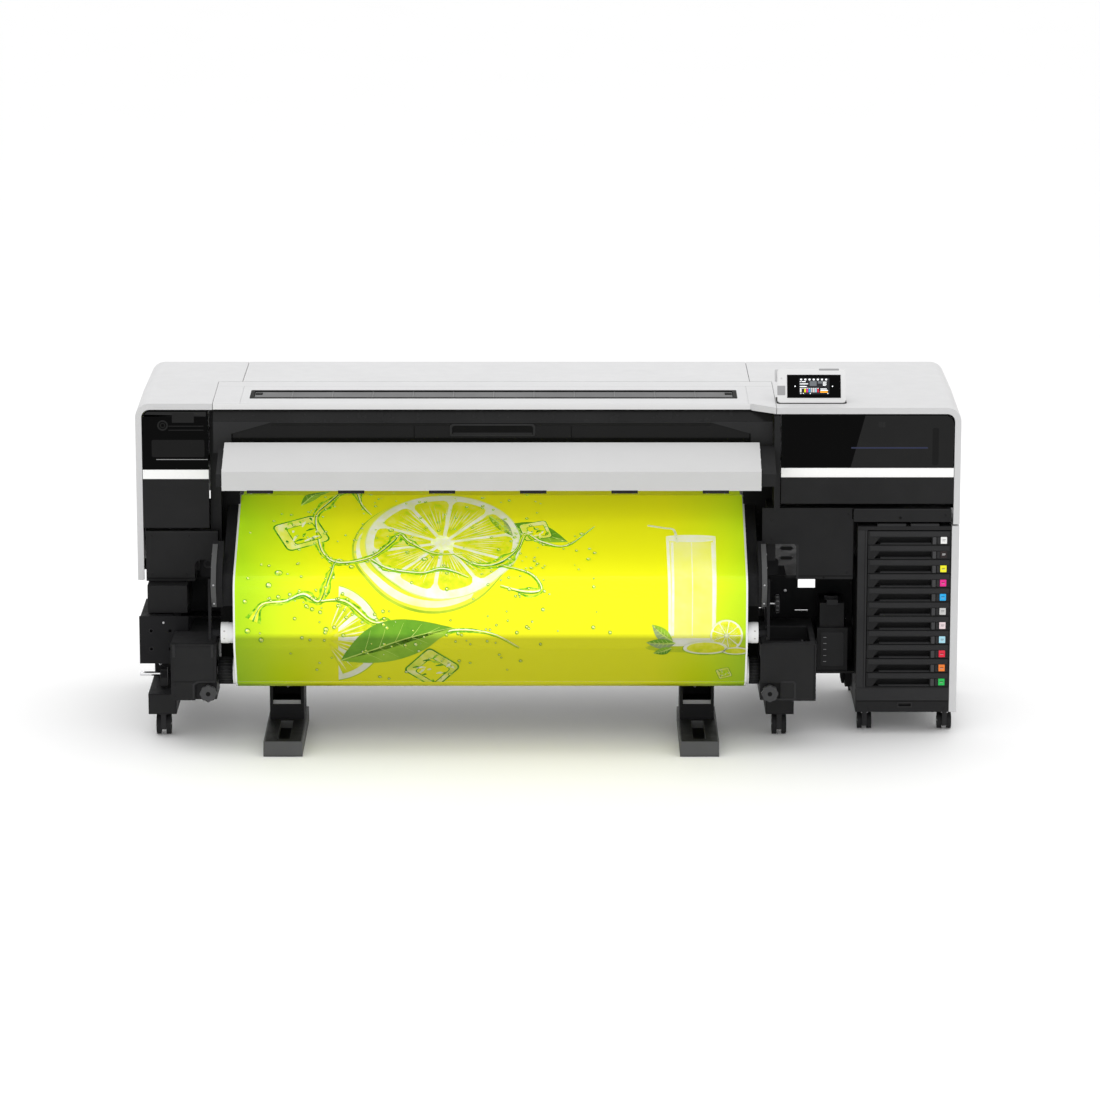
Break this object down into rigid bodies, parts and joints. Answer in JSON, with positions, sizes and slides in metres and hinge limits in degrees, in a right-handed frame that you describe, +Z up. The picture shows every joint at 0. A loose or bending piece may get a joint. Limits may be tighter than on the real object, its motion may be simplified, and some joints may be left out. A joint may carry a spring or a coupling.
{
  "type": "roll-fed sign printer",
  "caption": "Wide roll-fed sign printer on a castored stand, with a dryer hood, a powered take-up, a tilting touch panel and a cabinet of pull-out ink trays.",
  "frame": {"origin": "on the floor, under the middle of the overall box", "axes": "+X to the operator's right along the machine, +Y to the back, +Z up; the operator stands on the -Y side"},
  "size_m": [2.63, 1.06, 1.1765],
  "materials": {
    "cover_white": "fine grained light grey moulding",
    "black_matte": "fine grained black moulding",
    "gloss_black": "polished black, printed with a white band",
    "smoked_window": "dark tinted front skirt",
    "hood_grey": "light grey coated sheet",
    "frame_black": "textured black powder coat",
    "foot_grey": "dark grey powder coat",
    "guide_black": "satin black sheet",
    "platen_metal": "dark anodised, perforated",
    "roller_steel": "gritted steel roller",
    "rail_metal": "extruded rail",
    "bar_white": "white coated tube",
    "media_print": null,
    "media_white": "rolled film",
    "knob_grey": "grey moulding",
    "tray_black": "black moulding with a coloured label",
    "caster_black": "black nylon",
    "wheel_black": "black tread",
    "tank_black": "black moulding"
  },
  "bodies": {
    "printer": {"left_leg": "frame_black", "right_leg": "frame_black", "cross_beam": "frame_black", "front_feet": "foot_grey", "chassis_beam": "frame_black", "left_housing": "black_matte", "right_housing": "black_matte", "left_cover": "cover_white", "right_cover": "cover_white", "top_cover": "cover_white", "rear_guide": "guide_black", "platen": "platen_metal", "front_guide": "guide_black", "carriage_rail": "rail_metal", "dryer_hood": "hood_grey", "take_up_left": "black_matte", "take_up_right": "black_matte", "supply_holders": "frame_black", "media_web": "media_print", "ink_cabinet": "black_matte", "ink_side_panel": "cover_white", "ink_rear_forks": "caster_black"},
    "front_cover_unit": {"front_cover": "cover_white", "cover_window": "smoked_window"},
    "left_door_body": {"left_door": "gloss_black"},
    "right_door_body": {"right_door": "gloss_black"},
    "control_panel_body": {"control_panel": "cover_white"},
    "feed_roller_body": {"feed_roller": "roller_steel"},
    "carriage_body": {"carriage": "black_matte"},
    "take_up_roll_body": {"take_up_roll": "media_white"},
    "knob_left_body": {"knob_left": "knob_grey"},
    "knob_right_body": {"knob_right": "knob_grey"},
    "tension_bar_body": {"tension_bar": "bar_white"},
    "supply_roll_body": {"supply_roll": "media_white"},
    "hand_wheel_body": {"hand_wheel": "knob_grey"},
    "waste_tank_body": {"waste_tank": "tank_black"},
    "ink_caster_fl_body": {"ink_caster_fl": "caster_black"},
    "ink_caster_fr_body": {"ink_caster_fr": "caster_black"},
    "ink_wheel_fl_body": {"ink_wheel_fl": "wheel_black"},
    "ink_wheel_fr_body": {"ink_wheel_fr": "wheel_black"},
    "ink_rear_wheels_body": {"ink_rear_wheels": "wheel_black"},
    "ink_tray_01_body": {"ink_tray_01": "tray_black"},
    "ink_tray_02_body": {"ink_tray_02": "tray_black"},
    "ink_tray_03_body": {"ink_tray_03": "tray_black"},
    "ink_tray_04_body": {"ink_tray_04": "tray_black"},
    "ink_tray_05_body": {"ink_tray_05": "tray_black"},
    "ink_tray_06_body": {"ink_tray_06": "tray_black"},
    "ink_tray_07_body": {"ink_tray_07": "tray_black"},
    "ink_tray_08_body": {"ink_tray_08": "tray_black"},
    "ink_tray_09_body": {"ink_tray_09": "tray_black"},
    "ink_tray_10_body": {"ink_tray_10": "tray_black"},
    "ink_tray_11_body": {"ink_tray_11": "tray_black"},
    "stand_caster_fl_body": {"stand_caster_fl": "caster_black"},
    "stand_caster_fr_body": {"stand_caster_fr": "caster_black"},
    "stand_caster_bl_body": {"stand_caster_bl": "caster_black"},
    "stand_caster_br_body": {"stand_caster_br": "caster_black"},
    "stand_wheel_fl_body": {"stand_wheel_fl": "wheel_black"},
    "stand_wheel_fr_body": {"stand_wheel_fr": "wheel_black"},
    "stand_wheel_bl_body": {"stand_wheel_bl": "wheel_black"},
    "stand_wheel_br_body": {"stand_wheel_br": "wheel_black"}
  },
  "joints": [
    {"name": "front_cover_lift", "type": "hinge", "parent": "printer", "child": "front_cover_unit", "pos_m": [-0.17, 0.122, 1.073], "axis": [-1, 0, 0], "range_deg": [0, 65]},
    {"name": "left_door_drop", "type": "hinge", "parent": "printer", "child": "left_door_body", "pos_m": [-1.187, -0.183, 0.672], "axis": [1, 0, 0], "range_deg": [0, 90]},
    {"name": "right_door_drop", "type": "hinge", "parent": "printer", "child": "right_door_body", "pos_m": [1.018, -0.243, 0.765], "axis": [1, 0, 0], "range_deg": [0, 90]},
    {"name": "control_panel_tilt", "type": "hinge", "parent": "printer", "child": "control_panel_body", "pos_m": [0.842, -0.146, 1.0842], "axis": [-1, 0, 0], "range_deg": [0, 45]},
    {"name": "feed_roller_spin", "type": "hinge", "parent": "printer", "child": "feed_roller_body", "pos_m": [-0.175, 0.035, 0.7351], "axis": [1, 0, 0], "continuous": true},
    {"name": "carriage_travel", "type": "slide", "parent": "printer", "child": "carriage_body", "axis": [1, 0, 0], "range_m": [-2.05, 0]},
    {"name": "take_up_spin", "type": "hinge", "parent": "printer", "child": "take_up_roll_body", "pos_m": [-0.18, -0.36, 0.24], "axis": [1, 0, 0], "continuous": true},
    {"name": "supply_spin", "type": "hinge", "parent": "printer", "child": "supply_roll_body", "pos_m": [-0.18, 0.43, 0.44], "axis": [1, 0, 0], "continuous": true},
    {"name": "knob_left_turn", "type": "hinge", "parent": "printer", "child": "knob_left_body", "pos_m": [-1.077, -0.434, 0.186], "axis": [0, -1, 0], "continuous": true},
    {"name": "knob_right_turn", "type": "hinge", "parent": "printer", "child": "knob_right_body", "pos_m": [0.706, -0.434, 0.186], "axis": [0, -1, 0], "continuous": true},
    {"name": "tension_bar_swing", "type": "hinge", "parent": "printer", "child": "tension_bar_body", "pos_m": [-0.18, -0.445, 0.545], "axis": [1, 0, 0], "range_deg": [0, 25]},
    {"name": "hand_wheel_turn", "type": "hinge", "parent": "printer", "child": "hand_wheel_body", "pos_m": [0.742, -0.12, 0.4], "axis": [1, 0, 0], "continuous": true},
    {"name": "waste_tank_pull", "type": "slide", "parent": "printer", "child": "waste_tank_body", "axis": [0, -1, 0], "range_m": [0, 0.15]},
    {"name": "ink_tray_01_pull", "type": "slide", "parent": "printer", "child": "ink_tray_01_body", "axis": [0, -1, 0], "range_m": [0, 0.35]},
    {"name": "ink_tray_02_pull", "type": "slide", "parent": "printer", "child": "ink_tray_02_body", "axis": [0, -1, 0], "range_m": [0, 0.35]},
    {"name": "ink_tray_03_pull", "type": "slide", "parent": "printer", "child": "ink_tray_03_body", "axis": [0, -1, 0], "range_m": [0, 0.35]},
    {"name": "ink_tray_04_pull", "type": "slide", "parent": "printer", "child": "ink_tray_04_body", "axis": [0, -1, 0], "range_m": [0, 0.35]},
    {"name": "ink_tray_05_pull", "type": "slide", "parent": "printer", "child": "ink_tray_05_body", "axis": [0, -1, 0], "range_m": [0, 0.35]},
    {"name": "ink_tray_06_pull", "type": "slide", "parent": "printer", "child": "ink_tray_06_body", "axis": [0, -1, 0], "range_m": [0, 0.35]},
    {"name": "ink_tray_07_pull", "type": "slide", "parent": "printer", "child": "ink_tray_07_body", "axis": [0, -1, 0], "range_m": [0, 0.35]},
    {"name": "ink_tray_08_pull", "type": "slide", "parent": "printer", "child": "ink_tray_08_body", "axis": [0, -1, 0], "range_m": [0, 0.35]},
    {"name": "ink_tray_09_pull", "type": "slide", "parent": "printer", "child": "ink_tray_09_body", "axis": [0, -1, 0], "range_m": [0, 0.35]},
    {"name": "ink_tray_10_pull", "type": "slide", "parent": "printer", "child": "ink_tray_10_body", "axis": [0, -1, 0], "range_m": [0, 0.35]},
    {"name": "ink_tray_11_pull", "type": "slide", "parent": "printer", "child": "ink_tray_11_body", "axis": [0, -1, 0], "range_m": [0, 0.35]},
    {"name": "stand_caster_fl_swivel", "type": "hinge", "parent": "printer", "child": "stand_caster_fl_body", "pos_m": [-1.235, -0.262, 0.074], "axis": [0, 0, 1], "continuous": true},
    {"name": "stand_wheel_fl_roll", "type": "hinge", "parent": "stand_caster_fl_body", "child": "stand_wheel_fl_body", "pos_m": [-1.235, -0.242, 0.033], "axis": [1, 0, 0], "continuous": true},
    {"name": "stand_caster_fr_swivel", "type": "hinge", "parent": "printer", "child": "stand_caster_fr_body", "pos_m": [0.745, -0.262, 0.074], "axis": [0, 0, 1], "continuous": true},
    {"name": "stand_wheel_fr_roll", "type": "hinge", "parent": "stand_caster_fr_body", "child": "stand_wheel_fr_body", "pos_m": [0.745, -0.242, 0.033], "axis": [1, 0, 0], "continuous": true},
    {"name": "stand_caster_bl_swivel", "type": "hinge", "parent": "printer", "child": "stand_caster_bl_body", "pos_m": [-1.235, 0.395, 0.074], "axis": [0, 0, 1], "continuous": true},
    {"name": "stand_wheel_bl_roll", "type": "hinge", "parent": "stand_caster_bl_body", "child": "stand_wheel_bl_body", "pos_m": [-1.235, 0.415, 0.033], "axis": [1, 0, 0], "continuous": true},
    {"name": "stand_caster_br_swivel", "type": "hinge", "parent": "printer", "child": "stand_caster_br_body", "pos_m": [0.745, 0.395, 0.074], "axis": [0, 0, 1], "continuous": true},
    {"name": "stand_wheel_br_roll", "type": "hinge", "parent": "stand_caster_br_body", "child": "stand_wheel_br_body", "pos_m": [0.745, 0.415, 0.033], "axis": [1, 0, 0], "continuous": true},
    {"name": "ink_caster_fl_swivel", "type": "hinge", "parent": "printer", "child": "ink_caster_fl_body", "pos_m": [1.024, -0.19, 0.068], "axis": [0, 0, 1], "continuous": true},
    {"name": "ink_wheel_fl_roll", "type": "hinge", "parent": "ink_caster_fl_body", "child": "ink_wheel_fl_body", "pos_m": [1.024, -0.172, 0.026], "axis": [1, 0, 0], "continuous": true},
    {"name": "ink_caster_fr_swivel", "type": "hinge", "parent": "printer", "child": "ink_caster_fr_body", "pos_m": [1.282, -0.19, 0.068], "axis": [0, 0, 1], "continuous": true},
    {"name": "ink_wheel_fr_roll", "type": "hinge", "parent": "ink_caster_fr_body", "child": "ink_wheel_fr_body", "pos_m": [1.282, -0.172, 0.026], "axis": [1, 0, 0], "continuous": true},
    {"name": "ink_rear_wheels_roll", "type": "hinge", "parent": "printer", "child": "ink_rear_wheels_body", "pos_m": [1.153, 0.308, 0.026], "axis": [1, 0, 0], "continuous": true}
  ],
  "couplings": [
    {"joint": "feed_roller_spin", "follows": "supply_spin", "ratio": -10.222},
    {"joint": "take_up_spin", "follows": "supply_spin", "ratio": -1.84}
  ]
}
